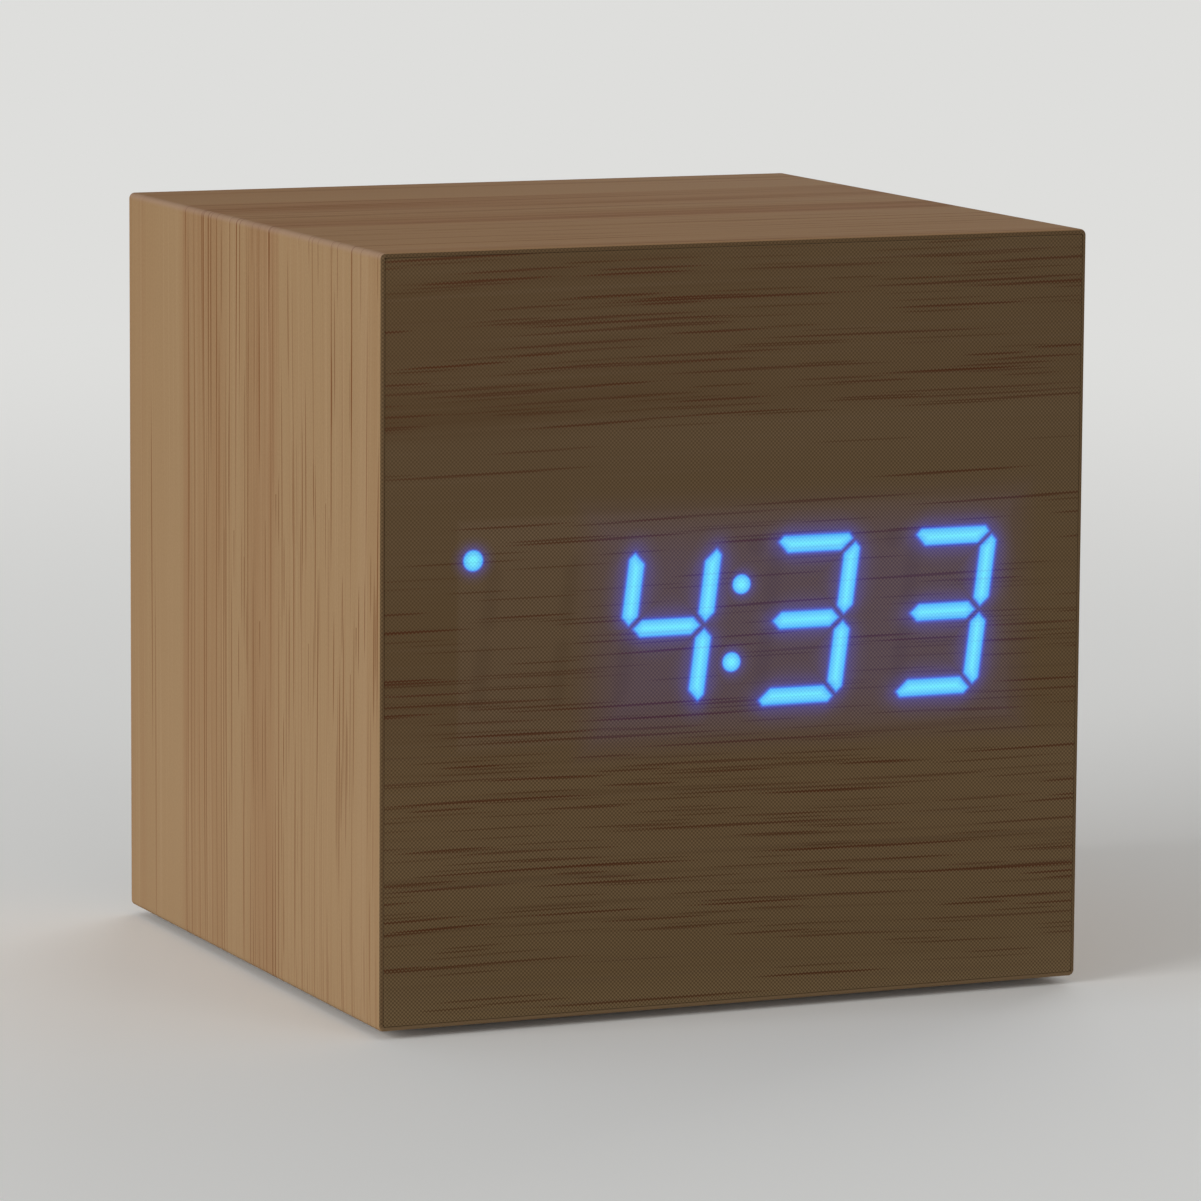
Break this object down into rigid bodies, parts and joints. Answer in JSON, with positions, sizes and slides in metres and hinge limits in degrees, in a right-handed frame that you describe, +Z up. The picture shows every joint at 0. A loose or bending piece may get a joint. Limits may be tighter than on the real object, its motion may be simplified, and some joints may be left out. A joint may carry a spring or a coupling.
{
  "type": "cube alarm clock",
  "caption": "Cube-shaped alarm clock in wood-look foil, with an LED display that shines through the front film, rear buttons, battery bay and power inlet.",
  "frame": {"origin": "on the table, centred under the case", "axes": "+X to the right as seen from the front, +Y from the front to the back, +Z up; the display faces -Y"},
  "size_m": [0.064, 0.06, 0.0647],
  "materials": {
    "side_film": "satin wood-look foil",
    "front_film": "satin wood-look film",
    "fibre_board": "raw board edges",
    "foot_foam": "matt",
    "grey_plastic": "matt",
    "blue_light": "lit resin",
    "dark_resin": "unlit resin",
    "circuit_board": "solder mask",
    "white_plastic": "matt",
    "black_plastic": "moulded",
    "panel_plastic": "fine grained",
    "steel": "plated",
    "copper_wire_red": "insulated",
    "copper_wire_black": "insulated",
    "copper_wire_white": "insulated",
    "cell_jacket": "printed jacket"
  },
  "bodies": {
    "case": {"wrap_film": "side_film", "front_film": "front_film", "bottom_board": "fibre_board", "left_board": "fibre_board", "top_board": "fibre_board", "right_board": "fibre_board", "front_board": "fibre_board", "corner_blocks": "fibre_board", "foot_pads": "foot_foam", "lit_segments": "blue_light", "unlit_segments": "dark_resin", "display_housing": "grey_plastic", "display_carrier": "black_plastic", "display_pins": "steel", "main_board": "circuit_board", "board_spacers": "white_plastic", "clock_chip": "black_plastic", "segment_drivers": "black_plastic", "chip_legs": "steel", "quartz_crystal": "steel", "capacitors": "black_plastic", "buzzer": "black_plastic", "chip_resistors": "black_plastic", "wire_sockets": "white_plastic", "black_lead": "copper_wire_black", "red_lead": "copper_wire_red", "link_wires": "copper_wire_white", "rear_panel": "panel_plastic", "cell_lower": "cell_jacket", "cell_middle": "cell_jacket", "cell_upper": "cell_jacket", "contact_plates": "steel", "contact_springs": "steel", "button_board": "circuit_board", "switch_bases": "black_plastic", "switch_covers": "steel", "jack_housing": "black_plastic", "jack_pin": "steel", "jack_leaf": "steel", "board_screws": "steel", "panel_screws": "steel", "button_board_screws": "steel"},
    "battery_door": {"battery_door": "panel_plastic"},
    "down_button": {"down_button": "black_plastic", "down_plunger": "black_plastic"},
    "up_button": {"up_button": "black_plastic", "up_plunger": "black_plastic"},
    "set_button": {"set_button": "black_plastic", "set_plunger": "black_plastic"}
  },
  "joints": [
    {"name": "battery_door_hinge", "type": "hinge", "parent": "case", "child": "battery_door", "pos_m": [0, 0.0282, 0.0124], "axis": [-1, 0, 0], "range_deg": [0, 95]},
    {"name": "down_press", "type": "slide", "parent": "case", "child": "down_button", "axis": [0, -1, 0], "range_m": [0, 0.0003], "stiffness_N_per_m": 3000},
    {"name": "up_press", "type": "slide", "parent": "case", "child": "up_button", "axis": [0, -1, 0], "range_m": [0, 0.0003], "stiffness_N_per_m": 3000},
    {"name": "set_press", "type": "slide", "parent": "case", "child": "set_button", "axis": [0, -1, 0], "range_m": [0, 0.0003], "stiffness_N_per_m": 3000}
  ]
}
